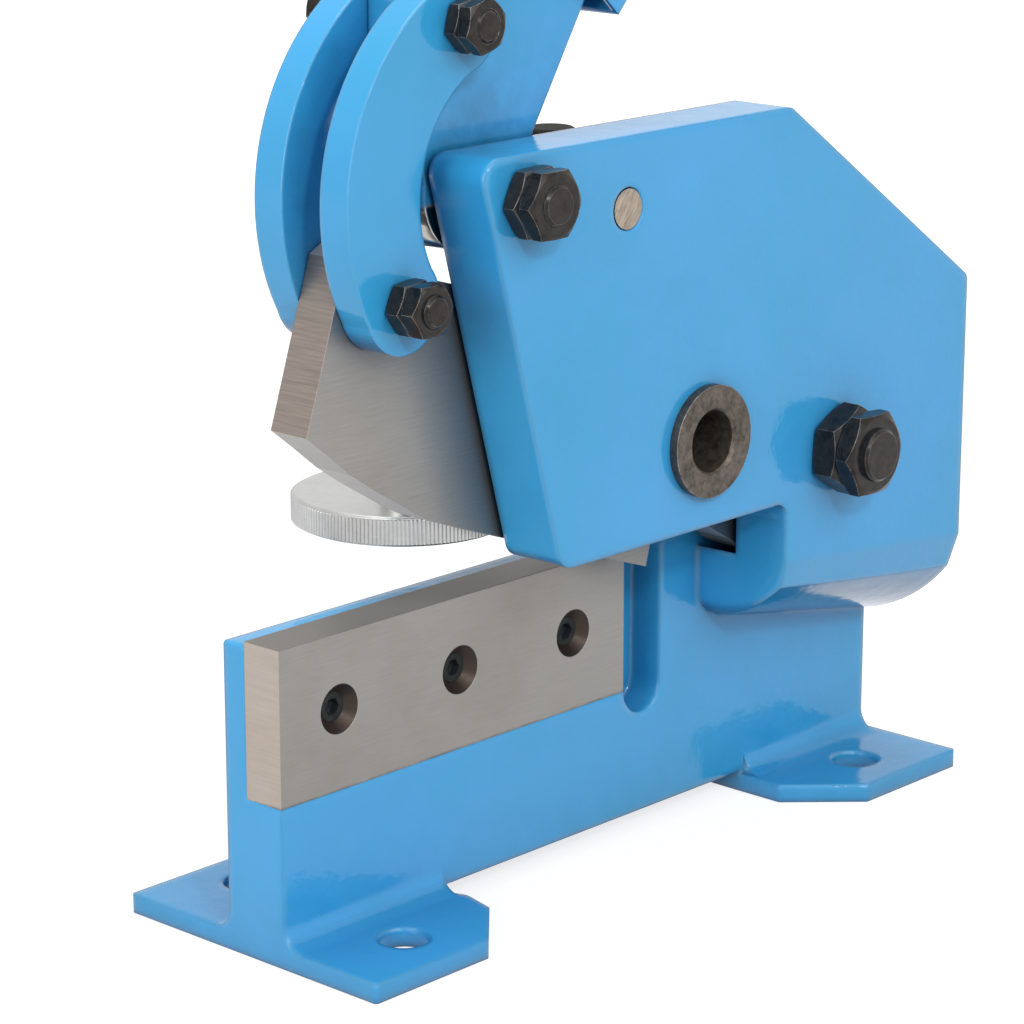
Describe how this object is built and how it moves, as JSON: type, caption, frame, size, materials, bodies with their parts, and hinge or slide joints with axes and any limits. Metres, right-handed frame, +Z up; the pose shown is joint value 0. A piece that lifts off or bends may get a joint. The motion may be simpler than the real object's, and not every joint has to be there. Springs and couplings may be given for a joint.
{
  "type": "bench lever shear",
  "caption": "Bench lever shear: cast stand with cheeks, straight and curved ground blades, curved drive links, long socketed handle, screw hold-down.",
  "frame": {"origin": "on the bench plane, in the middle of the base hole rectangle", "axes": "+X along the blade from its free end to the pivot end, +Y from the operator's side to the back, +Z up"},
  "size_m": [0.4282, 0.1066, 0.5855],
  "materials": {
    "paint_blue": "glossy sky-blue enamel",
    "ground_steel": "ground tool steel, lightly oiled",
    "black_steel": "black-oxide steel, oiled",
    "worn_steel": "dark worn steel",
    "bright_steel": "satin bright steel",
    "zinc": "bright zinc plate",
    "rubber_black": "matt black rubber"
  },
  "bodies": {
    "frame": {"frame_casting": "paint_blue", "lower_blade": "ground_steel", "lower_blade_screws": "black_steel", "lower_blade_nuts": "black_steel", "bar_bush": "worn_steel", "stop_pin": "bright_steel", "blade_pivot_bolt": "black_steel", "blade_pivot_nut": "black_steel", "blade_pivot_locknut": "black_steel", "blade_pivot_washer": "zinc", "lever_pivot_bolt": "black_steel", "lever_pivot_washer": "zinc", "lever_pivot_nut": "black_steel", "lever_pivot_locknut": "black_steel", "hold_down_bracket": "paint_blue", "bracket_bolt": "black_steel", "hold_down_locknut": "black_steel"},
    "blade": {"upper_blade": "ground_steel", "blade_pivot_bush": "worn_steel"},
    "lever": {"lever_plate": "paint_blue", "lever_pivot_bush": "worn_steel", "handle_socket": "paint_blue", "socket_welds": "paint_blue", "handle_tube": "bright_steel", "handle_grip": "rubber_black", "handle_end_cap": "rubber_black", "handle_bolts": "black_steel", "handle_nuts": "black_steel"},
    "links": {"link_front": "paint_blue", "link_rear": "paint_blue", "link_upper_bolt": "black_steel", "link_upper_rear_nuts": "black_steel", "link_upper_nut": "black_steel", "link_upper_locknut": "black_steel", "link_lower_bolt": "black_steel", "link_lower_nut": "black_steel", "link_lower_locknut": "black_steel"},
    "hold_down": {"hold_down_stud": "bright_steel", "hold_down_disc": "bright_steel"}
  },
  "joints": [
    {"name": "lever_hinge", "type": "hinge", "parent": "frame", "child": "lever", "pos_m": [-0.06395, -0.0184, 0.1861], "axis": [0, -1, 0], "range_deg": [0, 86]},
    {"name": "blade_hinge", "type": "hinge", "parent": "frame", "child": "blade", "pos_m": [0.05705, -0.0184, 0.1047], "axis": [0, -1, 0], "range_deg": [0, 18.1]},
    {"name": "link_hinge", "type": "hinge", "parent": "lever", "child": "links", "pos_m": [-0.07475, -0.0184, 0.2277], "axis": [0, -1, 0], "range_deg": [-63.5, 0]},
    {"name": "hold_down_slide", "type": "slide", "parent": "frame", "child": "hold_down", "axis": [0, 0, 1], "range_m": [-0.0125, 0.018]}
  ],
  "couplings": [
    {"joint": "blade_hinge", "follows": "lever_hinge", "ratio": 0.2093},
    {"joint": "link_hinge", "follows": "lever_hinge", "ratio": -0.735}
  ]
}
